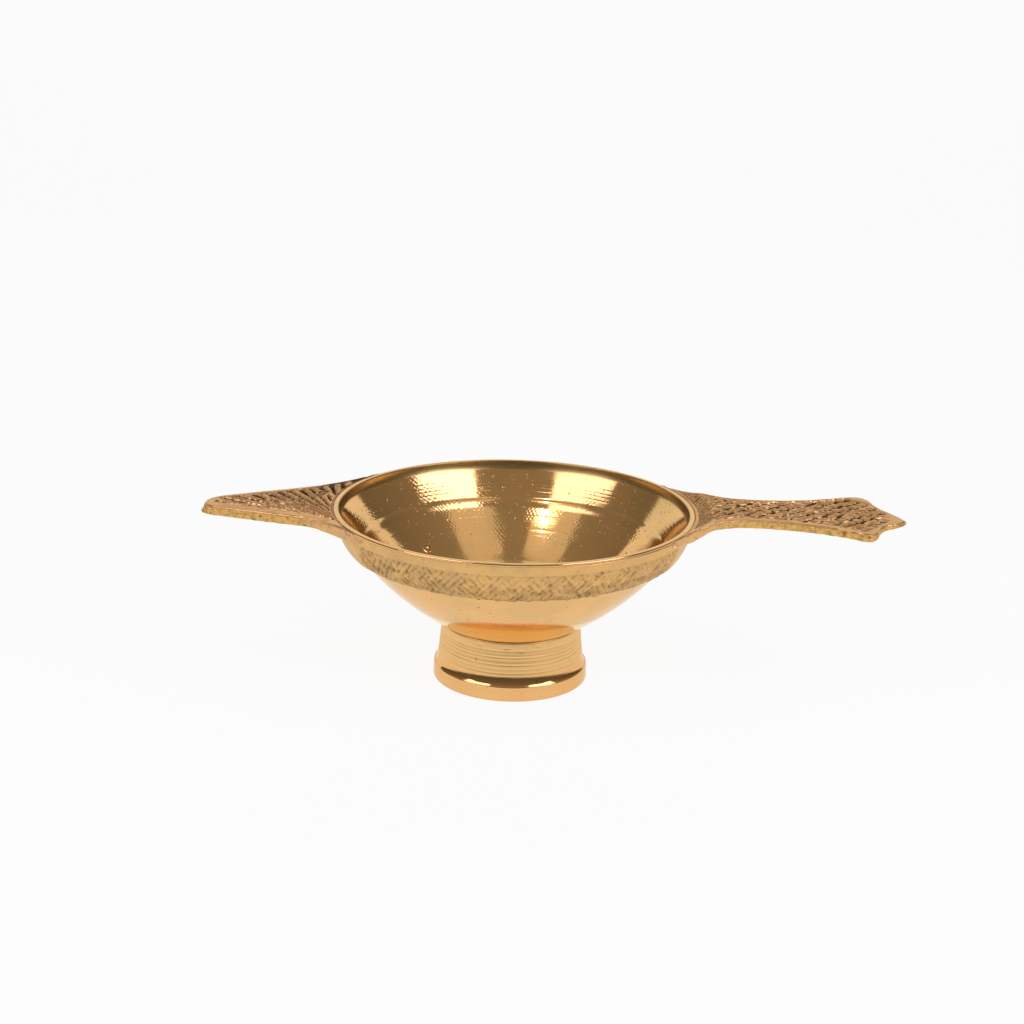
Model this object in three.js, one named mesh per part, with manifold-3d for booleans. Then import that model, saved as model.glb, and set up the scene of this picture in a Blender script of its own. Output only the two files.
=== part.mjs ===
// A brass diya: a small hand-held oil lamp. A turned bowl stands on a hollow ring foot. A cast band runs
// round the outside of the bowl below its lip, with a pointed leaf on one side and a flat handle on the
// other. The castings are brazed together, and each seam of filler metal is its own thin solid.
//
// Millimetres, +Z up. The handle points along +X and the leaf along -X. The origin is on the base plane,
// midway between the tip of the leaf and the tip of the handle.
import * as THREE from "three";
import { mergeVertices } from "three/addons/utils/BufferGeometryUtils.js";
import Module from "manifold-3d";

// ---- driving dimensions -------------------------------------------------------------------------------

const RIM_RADIUS = 38; // outer edge of the lip
const RIM_HEIGHT = 37.5; // top of the lip above the base
const LIP_WIDTH = 1.1; // flat top of the lip
const LIP_DEPTH = 0.5; // height of the lip's outer edge, which covers the band

const BAND_FOOT_HEIGHT = 28.4; // lower edge of the cast band
const BAND_FOOT_RADIUS = 34;
const BAND_SEAT = 1.1; // thickness of the band at its lower edge
const BAND_TOP_SEAT = 0.75; // thickness of the band under the lip

const FOOT_HEIGHT = 12.2; // top face of the foot
const FOOT_BASE_RADIUS = 16.6;
const FOOT_TOP_RADIUS = 15;
const FOOT_BEAD_HEIGHT = 3.2; // plain polished bead at the bottom of the foot
const FOOT_WEB = 1.8; // plate that closes the top of the foot

const BOWL_FLOOR = 1.7; // thickness of the bowl's floor
const FLOOR_RADIUS = 8.5; // flat part of the floor inside

// The two plates. Lift is the height of a plate's top above the lip at its root, and droop is the angle,
// in degrees, by which it falls away towards its tip.
const LEAF = { reach: 66.1, thick: 2.2, lift: 0.2, droop: 1.6, outline: leafOutline };
const HANDLE = { reach: 82.3, thick: 1.8, lift: 1.05, droop: 1.3, outline: handleOutline };
const PANEL_DEPTH = 0.5; // sunk field that holds the ornament
const BORDER = 1.3; // plain border round the sunk field
const ROOT_X = RIM_RADIUS - 10; // where a plate is drawn from, inside the bowl, before it is cut to the band
const FLARE_REACH = 5; // how far a root's concave flare runs out under its plate
const FLARE_LOW = 31.2; // height at which the flare runs out on the band
const FLARE_RADIUS = 35.4; // its radius there, just inside the band's outside

const SEAM = 0.3; // thickness of the filler metal
const GAP = 0.05; // clearance that keeps neighbouring solids apart
const SPARE = 4; // how far a cutting solid reaches past what it cuts
const FOOT_SEAM_HOLE = 6; // radius of the hole in the seam between the foot and the bowl

const AROUND = 48; // facets round every turned piece
const AXIS_X = (LEAF.reach - HANDLE.reach) / 2; // the bowl's axis, so that the whole length is centred
const BOWL_BASE = FOOT_HEIGHT + SEAM + 2 * GAP;

// ---- materials ----------------------------------------------------------------------------------------

const brass = (color, roughness) => new THREE.MeshStandardMaterial({ color, roughness, metalness: 1 });
const turnedBrass = brass(0xe3b778, 0.25);
const castBrass = brass(0xc39a62, 0.5);
const fillerMetal = brass(0xd6bd84, 0.4);

// ---- solids -------------------------------------------------------------------------------------------

const manifold = await Module();
manifold.setup();

// A closed three.js geometry as a solid that can be cut and joined.
function toSolid(geometry) {
  const bare = geometry.clone();
  bare.deleteAttribute("normal");
  bare.deleteAttribute("uv");
  const merged = mergeVertices(bare, 1e-4);
  return new manifold.Manifold(
    new manifold.Mesh({
      numProp: 3,
      vertProperties: merged.attributes.position.array,
      triVerts: new Uint32Array(merged.index.array),
    }),
  );
}

function toGeometry(solid) {
  const mesh = solid.getMesh();
  const geometry = new THREE.BufferGeometry();
  geometry.setAttribute("position", new THREE.BufferAttribute(mesh.vertProperties, 3));
  geometry.setIndex(new THREE.BufferAttribute(mesh.triVerts, 1));
  geometry.computeVertexNormals();
  return geometry;
}

// A profile of (radius, height) points, turned about +Z.
function turned(points) {
  return new THREE.LatheGeometry(points, AROUND).rotateX(Math.PI / 2);
}

// A path of (radius, height) points that starts at the given point.
function pathFrom(radius, height) {
  const path = new THREE.Path();
  path.moveTo(radius, height);
  return path;
}

// Each point of an open profile moved square to the profile, to its right-hand side.
function offset(points, distance) {
  return points.map((point, i) => {
    const before = points[Math.max(i - 1, 0)];
    const after = points[Math.min(i + 1, points.length - 1)];
    const along = new THREE.Vector2().subVectors(after, before).normalize();
    return new THREE.Vector2(point.x + along.y * distance, point.y - along.x * distance);
  });
}

// ---- profiles shared by the bowl and the band ----------------------------------------------------------

const bandTop = RIM_HEIGHT - LIP_DEPTH - GAP;

// Outside of the band, from its lower edge to just under the lip.
function bandOutside() {
  const path = pathFrom(BAND_FOOT_RADIUS, BAND_FOOT_HEIGHT);
  path.quadraticCurveTo(RIM_RADIUS - 0.9, BAND_FOOT_HEIGHT + 2.6, RIM_RADIUS - 0.1, bandTop);
  return path.getPoints(5);
}

// Seat of the band on the bowl: it starts well inside the band's lower edge and ends under the lip.
function bandSeat() {
  const path = pathFrom(BAND_FOOT_RADIUS - BAND_SEAT, BAND_FOOT_HEIGHT);
  path.quadraticCurveTo(RIM_RADIUS - 2.2, BAND_FOOT_HEIGHT + 3, RIM_RADIUS - BAND_TOP_SEAT, bandTop);
  return path.getPoints(5);
}

// Underside of the bowl, a slightly swelling cone from the foot to the band.
function bowlUnderside() {
  const path = pathFrom(FOOT_TOP_RADIUS + 0.2, BOWL_BASE);
  path.quadraticCurveTo(26.4, 19.8, BAND_FOOT_RADIUS - BAND_SEAT - GAP, BAND_FOOT_HEIGHT);
  return path.getPoints(7);
}

// ---- turned pieces ------------------------------------------------------------------------------------

function bowl() {
  const floor = BOWL_BASE + BOWL_FLOOR;
  const inside = pathFrom(RIM_RADIUS - LIP_WIDTH, RIM_HEIGHT);
  inside.quadraticCurveTo(36.75, 36, 36.15, 35);
  inside.quadraticCurveTo(34.2, 32.4, 32.1, 29.9);
  inside.quadraticCurveTo(26, 23.15, 20.6, 18.6);
  inside.quadraticCurveTo(16, floor, FLOOR_RADIUS, floor);
  const seat = offset(bandSeat(), -GAP);
  return turned([
    new THREE.Vector2(0, BOWL_BASE),
    ...bowlUnderside().slice(0, -1),
    ...seat,
    new THREE.Vector2(RIM_RADIUS - BAND_TOP_SEAT - GAP, RIM_HEIGHT - LIP_DEPTH),
    new THREE.Vector2(RIM_RADIUS, RIM_HEIGHT - LIP_DEPTH),
    new THREE.Vector2(RIM_RADIUS, RIM_HEIGHT),
    ...inside.getPoints(5),
    new THREE.Vector2(0, floor),
  ]);
}

function rimBand() {
  const outside = bandOutside();
  const profile = [...outside, ...bandSeat().reverse()];
  return turned([...profile, outside[0].clone()]);
}

function foot() {
  const outside = pathFrom(FOOT_BASE_RADIUS - 0.25, 0);
  outside.lineTo(FOOT_BASE_RADIUS, 0.35);
  outside.lineTo(FOOT_BASE_RADIUS - 0.25, FOOT_BEAD_HEIGHT);
  outside.lineTo(FOOT_BASE_RADIUS - 0.5, FOOT_BEAD_HEIGHT + 0.2);
  outside.quadraticCurveTo(15.6, 3.8, 15.5, 5); // polished cove above the bead
  outside.lineTo(FOOT_TOP_RADIUS, FOOT_HEIGHT);
  const hollow = pathFrom(0, FOOT_HEIGHT - FOOT_WEB);
  hollow.lineTo(10.6, FOOT_HEIGHT - FOOT_WEB);
  hollow.quadraticCurveTo(12.4, FOOT_HEIGHT - FOOT_WEB, 12.5, 8.4);
  hollow.lineTo(13.4, 0);
  return turned([...hollow.getPoints(4), ...outside.getPoints(4), new THREE.Vector2(0, FOOT_HEIGHT)]);
}

// Flat ring of filler between the foot and the bowl.
function footSeam() {
  const low = FOOT_HEIGHT + GAP;
  const [inner, outer] = [FOOT_SEAM_HOLE, FOOT_TOP_RADIUS - 0.2];
  return turned([
    new THREE.Vector2(inner, low),
    new THREE.Vector2(outer, low),
    new THREE.Vector2(outer, low + SEAM),
    new THREE.Vector2(inner, low + SEAM),
    new THREE.Vector2(inner, low),
  ]);
}

// ---- leaf and handle ----------------------------------------------------------------------------------
// Both are drawn pointing along +X. An outline is drawn on one side and mirrored to the other, and inset
// draws the same outline that far inside itself.

function mirrored(half) {
  const side = half.getPoints(6);
  const other = side.slice(0, -1).reverse();
  return new THREE.Shape([...side, ...other.map((p) => new THREE.Vector2(p.x, -p.y))]);
}

function leafOutline(inset) {
  const half = pathFrom(ROOT_X, -23 + 2.2 * inset);
  half.lineTo(30.4, -23 + 2.2 * inset);
  half.quadraticCurveTo(38.6, -13.2 + inset, 44, -11.2 + inset);
  half.lineTo(LEAF.reach - 2.6 - inset, -3.7 + 0.75 * inset);
  half.quadraticCurveTo(LEAF.reach - 0.1 - inset, -2.3 + 0.7 * inset, LEAF.reach - inset, 0);
  return mirrored(half);
}

function handleOutline(inset) {
  const half = pathFrom(ROOT_X, -20.4 + 2 * inset);
  half.lineTo(32.3, -20.4 + 2 * inset);
  half.quadraticCurveTo(40.4, -8.6 + inset, 48, -7.9 + inset);
  half.quadraticCurveTo(60, -7 + inset, 71.5 - inset, -13 + inset);
  half.quadraticCurveTo(74.8 - inset, -14.3 + inset, 76 - inset, -10.4 + inset);
  half.quadraticCurveTo(76.8 - inset, -7.2 + 0.3 * inset, 78.2 - inset, -5.6 + 0.3 * inset);
  half.quadraticCurveTo(80.6 - inset, -3.6 + 0.2 * inset, HANDLE.reach - inset, 0);
  return mirrored(half);
}

// A shape pulled up between two heights.
function upright(shape, low, high) {
  const geometry = new THREE.ExtrudeGeometry(shape, { depth: high - low, bevelEnabled: false });
  return toSolid(geometry.translate(0, 0, low));
}

// Everything inside the band and the lip, grown by the given distance.
function insideOfBand(grown) {
  const wall = offset(bandOutside(), grown);
  const top = RIM_RADIUS + grown;
  return toSolid(
    turned([
      new THREE.Vector2(0, BAND_FOOT_HEIGHT - SPARE),
      new THREE.Vector2(wall[0].x - SPARE, BAND_FOOT_HEIGHT - SPARE),
      ...wall.slice(0, -1),
      new THREE.Vector2(top, bandTop),
      new THREE.Vector2(top, RIM_HEIGHT + SPARE),
      new THREE.Vector2(0, RIM_HEIGHT + SPARE),
    ]),
  );
}

// The level slab that a plate is cut from, with a flare under it that runs down onto the band all round.
function slabWithFlare(thick) {
  const under = RIM_HEIGHT - thick;
  const beyond = HANDLE.reach + SPARE;
  const flare = pathFrom(0, FLARE_LOW);
  flare.lineTo(FLARE_RADIUS, FLARE_LOW);
  flare.quadraticCurveTo(RIM_RADIUS - 0.2, under - 0.4, RIM_RADIUS + FLARE_REACH, under);
  flare.lineTo(beyond, under);
  return toSolid(
    turned([...flare.getPoints(5), new THREE.Vector2(beyond, RIM_HEIGHT), new THREE.Vector2(0, RIM_HEIGHT)]),
  );
}

// The solid lifted at the rim and let down towards its tip.
function tilted(solid, { lift, droop }) {
  return solid
    .translate([-RIM_RADIUS, 0, -RIM_HEIGHT])
    .rotate([0, droop, 0])
    .translate([RIM_RADIUS, 0, RIM_HEIGHT + lift]);
}

// A plate with a sunk field, and the seam of filler that joins its root to the band.
function plateAndSeam(plan) {
  const column = upright(plan.outline(0), FLARE_LOW - SPARE, RIM_HEIGHT + SPARE);
  const blank = tilted(column.intersect(slabWithFlare(plan.thick)), plan);
  const field = tilted(upright(plan.outline(BORDER), RIM_HEIGHT - PANEL_DEPTH, RIM_HEIGHT + SPARE), plan);
  const sunk = field.subtract(insideOfBand(2 * GAP + SEAM + BORDER));
  const plate = blank.subtract(insideOfBand(2 * GAP + SEAM)).subtract(sunk);
  const seam = blank.intersect(insideOfBand(GAP + SEAM)).subtract(insideOfBand(GAP));
  return [toGeometry(plate), toGeometry(seam)];
}

const [leafPlate, leafSeam] = plateAndSeam(LEAF);
const [handlePlate, handleSeam] = plateAndSeam(HANDLE);

// ---- the lamp -----------------------------------------------------------------------------------------

const lamp = new THREE.Group();

function add(name, geometry, material, turn = 0) {
  const mesh = new THREE.Mesh(geometry, material);
  mesh.name = name;
  mesh.rotation.z = turn;
  mesh.position.x = AXIS_X;
  lamp.add(mesh);
}

add("bowl", bowl(), turnedBrass);
add("rim_band", rimBand(), castBrass);
add("wick_leaf", leafPlate, castBrass, Math.PI);
add("handle", handlePlate, castBrass);
add("foot", foot(), turnedBrass);
add("leaf_braze", leafSeam, fillerMetal, Math.PI);
add("handle_braze", handleSeam, fillerMetal);
add("foot_braze", footSeam(), fillerMetal);

export default lamp;
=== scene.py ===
import math

import bpy
import numpy as np
from mathutils import Matrix, Vector, noise


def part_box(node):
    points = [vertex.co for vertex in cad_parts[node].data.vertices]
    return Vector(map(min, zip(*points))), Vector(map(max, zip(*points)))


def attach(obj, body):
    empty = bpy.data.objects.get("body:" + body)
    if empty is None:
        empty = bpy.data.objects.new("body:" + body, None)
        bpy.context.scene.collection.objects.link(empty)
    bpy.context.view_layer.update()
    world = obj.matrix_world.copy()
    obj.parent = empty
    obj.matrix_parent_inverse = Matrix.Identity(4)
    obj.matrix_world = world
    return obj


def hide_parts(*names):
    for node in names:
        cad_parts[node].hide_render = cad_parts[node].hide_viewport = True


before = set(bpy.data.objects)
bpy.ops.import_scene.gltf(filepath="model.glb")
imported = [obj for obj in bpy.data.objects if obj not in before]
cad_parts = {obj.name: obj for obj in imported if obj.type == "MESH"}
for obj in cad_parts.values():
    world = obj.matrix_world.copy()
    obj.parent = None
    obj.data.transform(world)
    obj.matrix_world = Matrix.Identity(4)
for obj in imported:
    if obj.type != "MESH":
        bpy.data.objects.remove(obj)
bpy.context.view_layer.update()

MM = 0.001

# ---- sizes from the frame ------------------------------------------------------------------------------


def box_mm(node):
    low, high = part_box(node)
    return low / MM, high / MM


bowl_low, bowl_high = box_mm("bowl")
band_low = box_mm("rim_band")[0]
foot_low, foot_high = box_mm("foot")
AXIS_X = (bowl_low.x + bowl_high.x) / 2
RIM_RADIUS = (bowl_high.x - bowl_low.x) / 2
RIM_HEIGHT = bowl_high.z
BOWL_BASE = bowl_low.z
BAND_FOOT = band_low.z
FOOT_RADIUS = (foot_high.x - foot_low.x) / 2
FOOT_HEIGHT = foot_high.z
LEAF_REACH = AXIS_X - box_mm("wick_leaf")[0].x
HANDLE_REACH = box_mm("handle")[1].x - AXIS_X

# ---- mesh tools ----------------------------------------------------------------------------------------


def curve(start, control, end, steps):
    """Points of a quadratic curve, without its first."""
    points = []
    for i in range(1, steps + 1):
        t = i / steps
        a, b, c = (1 - t) ** 2, 2 * t * (1 - t), t * t
        points.append(tuple(a * p + b * q + c * r for p, q, r in zip(start, control, end)))
    return points


def line(start, end, steps):
    """Points of a straight run, without its first."""
    return [tuple(p + (q - p) * i / steps for p, q in zip(start, end)) for i in range(1, steps + 1)]


def smooth(low, high, value):
    t = min(max((value - low) / (high - low), 0), 1)
    return t * t * (3 - 2 * t)


def edit():
    bpy.ops.object.mode_set(mode="EDIT")
    bpy.ops.mesh.select_all(action="SELECT")


def close_up(piece, angle):
    """Merges what lies together, turns the faces outwards and smooths all but the sharp edges."""
    bpy.ops.object.mode_set(mode="OBJECT")
    edit()
    bpy.ops.mesh.remove_doubles(threshold=0.002 * MM)
    bpy.ops.mesh.dissolve_degenerate(threshold=0.001 * MM)
    bpy.ops.mesh.normals_make_consistent(inside=False)
    bpy.ops.object.mode_set(mode="OBJECT")
    bpy.ops.object.shade_smooth_by_angle(angle=math.radians(angle))
    return piece


def turn(name, profile, around, angle=35):
    """A profile of (radius, height) points spun about the lamp's axis, as on a lathe."""
    bpy.ops.object.select_all(action="DESELECT")
    bpy.ops.mesh.primitive_plane_add(size=MM, location=(0, 0, 0))
    piece = bpy.context.object
    piece.name = piece.data.name = name
    edit()
    bpy.ops.mesh.merge(type="CENTER")
    here = Vector((0, 0, 0))
    for i, (radius, height) in enumerate(profile):
        there = Vector((AXIS_X + radius, 0, height)) * MM
        if i == 0:
            bpy.ops.transform.translate(value=there)
        else:
            bpy.ops.mesh.extrude_vertices_move(TRANSFORM_OT_translate={"value": there - here})
        here = there
    bpy.ops.mesh.select_all(action="SELECT")
    bpy.ops.mesh.spin(steps=around, angle=math.tau, center=(AXIS_X * MM, 0, 0), axis=(0, 0, 1))
    return close_up(piece, angle)


def polar(vertex):
    """(radius, angle, height) of a vertex, in millimetres and radians from +X."""
    x, y = vertex.co.x / MM - AXIS_X, vertex.co.y / MM
    return math.hypot(x, y), math.atan2(y, x), vertex.co.z / MM


def place(radius, angle, height):
    return Vector((AXIS_X + radius * math.cos(angle), radius * math.sin(angle), height)) * MM


def ripple(x, y, z, size):
    """Smooth noise from -1 to 1 whose lumps are about size across."""
    return noise.noise(Vector((x, y, z)) / size)


def store(piece, name, values):
    """A number at each vertex for the materials to read: how brown it has gone, or how raw its casting is."""
    attribute = piece.data.attributes.new(name, "FLOAT", "POINT")
    attribute.data.foreach_set("value", np.array(values, np.float32))


# ---- turned pieces -------------------------------------------------------------------------------------

TURNED_STEPS = 240
FLOOR_THICK = 1.7  # of the bowl, in the middle
LIP_THICK = 0.5
BAND_GAP = 0.05  # between the band's top and the lip
# Rings that the lathe tool has left, as (height, depth, width). A negative depth stands proud.
BOWL_RINGS = ((33.4, 0.008, 0.12), (32.6, 0.010, 0.10), (31.9, 0.008, 0.12), (31.2, 0.012, 0.12),
              (26.6, 0.018, 0.15), (24.2, 0.012, 0.2))
FOOT_RINGS = ((10.6, 0.03, 0.15), (9.55, -0.035, 0.2), (9.2, 0.05, 0.13), (8.6, 0.02, 0.15),
              (7.95, -0.035, 0.2), (7.6, 0.06, 0.12), (6.7, 0.02, 0.2), (5.85, 0.03, 0.1))
# Pits in the foot's wall, as (angle in radians, height, size, depth).
FOOT_PITS = ((-1.63, 11.2, 0.22, 0.16), (-1.42, 10.55, 0.3, 0.1), (-1.18, 11.5, 0.25, 0.08),
             (-2.0, 11.4, 0.3, 0.08), (0.6, 10.9, 0.25, 0.12), (2.2, 9.6, 0.2, 0.12), (1.4, 11.3, 0.3, 0.1))


def hump(distance, width):
    """1 at no distance, falling off evenly on both sides."""
    return math.exp(-((distance / width) ** 2))


def ring_depth(rings, height):
    return sum(depth * hump(height - at, width) for at, depth, width in rings)


def bowl_step(height):
    """How far the wall stands in where one pass of the tool stopped short of the next."""
    return 0.11 * smooth(28.0, 29.5, height) * smooth(30.1, 29.5, height)


def bowl_profile():
    floor = BOWL_BASE + FLOOR_THICK
    lip_under = RIM_HEIGHT - LIP_THICK
    seat_top = (RIM_RADIUS - 0.8, lip_under - BAND_GAP)
    points = [(0, BOWL_BASE), (14.9, BOWL_BASE), (15.2, BOWL_BASE + 0.06)]
    points += curve(points[-1], (26.4, 19.8), (32.85, BAND_FOOT), 36)
    points += curve(points[-1], (35.75, BAND_FOOT + 3), seat_top, 12)
    points += [(seat_top[0], lip_under), (RIM_RADIUS - 0.12, lip_under)]
    points += curve(points[-1], (RIM_RADIUS, lip_under), (RIM_RADIUS, lip_under + 0.14), 3)
    points += curve(points[-1], (RIM_RADIUS, RIM_HEIGHT), (RIM_RADIUS - 0.2, RIM_HEIGHT), 4)
    points += line(points[-1], (RIM_RADIUS - 0.95, RIM_HEIGHT), 2)
    points += curve(points[-1], (RIM_RADIUS - 1.1, RIM_HEIGHT), (RIM_RADIUS - 1.14, RIM_HEIGHT - 0.16), 3)
    wall = curve(points[-1], (36.8, 36.4), (36.45, 35.6), 16)
    wall += curve(wall[-1], (34.3, 32.6), (32.1, 29.9), 56)
    wall += curve(wall[-1], (26, 23.15), (20.6, 18.6), 80)
    wall += curve(wall[-1], (16, floor), (8.5, floor), 30)
    points += [(radius - bowl_step(height) - ring_depth(BOWL_RINGS, height), height)
               for radius, height in wall]
    points += line(points[-1], (1.2, floor), 12)
    points += [(0.9, floor - 0.25), (0, floor - 0.4)]
    return points


COVE_TOP = 5.7  # below this height the foot is polished, and above it the tool marks are left
BEAD_TOP = 3.0
FOOT_NECK = 14.85  # outside radius where the foot meets the bowl
FOOT_ROOF = 1.8  # thickness of the foot's top, over its hollow


def foot_profile():
    under = FOOT_HEIGHT - FOOT_ROOF
    points = [(0, under), (10.6, under)]
    points += curve(points[-1], (12.4, under), (12.5, 8.4), 6)
    points += line(points[-1], (13.4, 0.3), 10)
    points += curve(points[-1], (13.4, 0), (13.7, 0), 3)
    points += line(points[-1], (FOOT_RADIUS - 0.3, 0), 3)
    points += curve(points[-1], (FOOT_RADIUS, 0.02), (FOOT_RADIUS, 0.4), 6)
    points += curve(points[-1], (FOOT_RADIUS, 1.8), (FOOT_RADIUS - 0.16, BEAD_TOP), 8)
    bead_edge = (FOOT_RADIUS - 0.30, BEAD_TOP + 0.26)
    points += curve(points[-1], (FOOT_RADIUS - 0.18, BEAD_TOP + 0.2), bead_edge, 4)
    points += [(FOOT_RADIUS - 0.34, BEAD_TOP + 0.22)]
    points += curve(points[-1], (15.80, 3.9), (15.50, COVE_TOP), 24)
    wall = line(points[-1], (FOOT_NECK, FOOT_HEIGHT - 0.1), 60)
    points += [(radius - ring_depth(FOOT_RINGS, height), height) for radius, height in wall]
    points += [(FOOT_NECK - 0.05, FOOT_HEIGHT), (0, FOOT_HEIGHT)]
    return points


def make_bowl():
    piece = turn("bowl_turned", bowl_profile(), TURNED_STEPS)
    for vertex in piece.data.vertices:
        radius, angle, height = polar(vertex)
        if radius < 1.5:  # the centre mark stays round
            continue
        # a hand-held tool leaves the wall very slightly out of round
        off = 0.02 * ripple(math.cos(angle) * 3, math.sin(angle) * 3, height * 0.5, 1.6)
        vertex.co = place(radius + off, angle, height)
    return piece


def make_foot():
    piece = turn("foot_turned", foot_profile(), TURNED_STEPS)
    for vertex in piece.data.vertices:
        radius, angle, height = polar(vertex)
        if radius < FOOT_NECK - 0.25:  # the hollow's wall has no pits
            continue
        for at, up, size, depth in FOOT_PITS:
            away = math.hypot(math.remainder(angle - at, math.tau) * radius, height - up)
            radius -= depth * hump(away, size)
        vertex.co = place(radius, angle, height)
    return piece


def make_foot_filler():
    low, high = (v.z for v in box_mm("foot_braze"))
    middle = (low + high) / 2
    inner, straight, bulge = 6, 14.75, 15.05
    profile = [(inner, low), (straight, low)]
    profile += curve(profile[-1], (bulge, low), (bulge, middle), 3)
    profile += curve(profile[-1], (bulge, high), (straight, high), 3)
    profile += [(inner, high), (inner, low)]
    return turn("foot_filler", profile, TURNED_STEPS)


# ---- the band ------------------------------------------------------------------------------------------

BAND_STEPS = 900
BAND_PLAIN = 2.0  # the plain strip under the lip
LEAF_SPAN = math.radians(37)  # how far round from its axis each root's flare covers the band
HANDLE_SPAN = math.radians(32)
BAND_TOP = RIM_HEIGHT - LIP_THICK - BAND_GAP
ZIGZAGS = 64  # turns of the zigzag round the band
band_line = [(RIM_RADIUS - 4, BAND_FOOT)]
band_line += curve(band_line[0], (RIM_RADIUS - 0.9, BAND_FOOT + 2.6), (RIM_RADIUS - 0.1, BAND_TOP), 44)


def band_radius(height):
    return float(np.interp(height, [p[1] for p in band_line], [p[0] for p in band_line]))


def wave(value):
    """A zigzag from 0 to 1 and back, once for each whole number."""
    t = value % 1
    return 1 - abs(2 * t - 1)


def ornament_fade(angle):
    """1 where the band shows its ornament, and 0 under the flares of the leaf and the handle."""
    from_handle = abs(math.remainder(angle, math.tau))
    from_leaf = math.pi - from_handle
    soft = math.radians(9)
    past_handle = smooth(HANDLE_SPAN - soft, HANDLE_SPAN, from_handle)
    return past_handle * smooth(LEAF_SPAN - soft, LEAF_SPAN, from_leaf)


def band_relief(angle, down):
    """(height of the relief, patina) at an angle round the band and a distance below the lip."""
    along = angle * RIM_RADIUS
    cx, cy = math.cos(angle) * RIM_RADIUS, math.sin(angle) * RIM_RADIUS
    drift = 0.9 * ripple(cx, cy, down, 6) + 0.35 * ripple(cx, cy, down, 1.7)
    grain = 0.03 * ripple(cx, cy, down, 0.6) + 0.06 * ripple(cx, cy, down, 1.3)
    mottle = ripple(cx, cy, down * 2, 2.6)
    fade = ornament_fade(angle)
    plain = smooth(BAND_PLAIN + 0.35, BAND_PLAIN - 0.1, down)
    # strokes of a chisel that lean one way or the other from patch to patch
    one = wave((along + 0.9 * (down - 4.5) + 0.5 * drift) / 1.45)
    other = wave((along - 0.8 * (down - 4.5) + 0.6 * drift) / 1.6)
    patch = smooth(-0.08, 0.08, ripple(cx, cy, down + 7, 2.4) + 0.1)
    stroke = one * patch + other * (1 - patch)
    cut_line = smooth(0.55, 0.1, stroke) * smooth(-0.5, 0.1, ripple(cx, cy, down + 20, 1.1))
    strokes = 0.12 - 0.30 * cut_line * (0.8 + 0.6 * mottle)
    # a zigzag with sunk triangles below it
    turnover = (along + drift) / (math.tau * RIM_RADIUS / ZIGZAGS)
    zigzag = BAND_PLAIN + 1.1 + 2.6 * wave(turnover) + 0.5 * drift
    triangle = smooth(0.0, 0.8, down - zigzag) * (0.75 + 0.5 * mottle)
    rope = hump(down - zigzag + 0.35, 0.35)  # the zigzag itself stands proud
    teeth = smooth(BAND_PLAIN + 3.2, BAND_PLAIN + 5.2, down) * wave((along + 0.4 * drift) / 0.95)
    groove = hump(down - BAND_PLAIN - 0.1, 0.25)
    height = strokes + 0.10 * rope - 0.24 * triangle - 0.12 * teeth - 0.08 * groove
    brown = 0.32 + 0.36 * cut_line + 0.16 * triangle + 0.26 * teeth * triangle - 0.2 * rope
    brown += 0.15 * groove + 0.22 * mottle
    shown = fade * (1 - plain)
    clean = 0.14 + 0.12 * mottle
    return height * shown + grain * (0.5 + 0.5 * shown), brown * shown + clean * (1 - shown)


def make_band():
    seat = [(RIM_RADIUS - 5.05, BAND_FOOT)]
    seat += curve(seat[0], (RIM_RADIUS - 2.2, BAND_FOOT + 3), (RIM_RADIUS - 0.7, BAND_TOP), 6)
    profile = band_line + seat[::-1] + [band_line[0]]
    piece = turn("rim_band_cast", profile, BAND_STEPS, angle=50)
    patina = []
    for vertex in piece.data.vertices:
        radius, angle, height = polar(vertex)
        brown = 0.0
        if abs(radius - band_radius(height)) < 0.02:
            down = RIM_HEIGHT - LIP_THICK - height
            relief, brown = band_relief(angle, down * 1.06)
            edge = smooth(1.0, 0.0, height - BAND_FOOT)  # the lower edge is rounded and uneven
            fade = ornament_fade(angle)
            cx, cy = math.cos(angle) * RIM_RADIUS, math.sin(angle) * RIM_RADIUS
            uneven = 0.5 * ripple(cx, cy, 0, 2.2) + 0.45 * ripple(cx, cy, 5, 0.75)
            height += edge * (0.22 + 0.55 * uneven) * (0.25 + 0.75 * fade)
            vertex.co = place(radius + relief - 0.2 * edge * edge, angle, height)
            # browner along the lower edge: partly patina in the joint, partly painted shade under the band's
            # overhang
            brown = max(brown, 0.75 * edge**2 * (0.35 + 0.65 * fade) * (0.7 + uneven))
        patina.append(brown)
    store(piece, "patina", patina)
    return piece


# ---- the leaf and the handle ---------------------------------------------------------------------------
# Both are drawn pointing along +X and turned into place at the end. "Across" is the distance to the lamp's
# back, and it is negative on the front.

ROOT_TOP = RIM_RADIUS + 0.12  # radius at which a plate's top begins
ROOT_UNDER = RIM_RADIUS - 1.9  # radius at which its flare ends, inside the band
FLARE_LOW = 31.4  # height at which it ends
SIDE_ROWS = 6
ARRIS = 0.3  # how far in from the edge a plate's top is rounded
RAW_FROM, RAW_FULL = 37, 46  # distance from the bowl's axis over which the sides turn to raw casting


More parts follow.
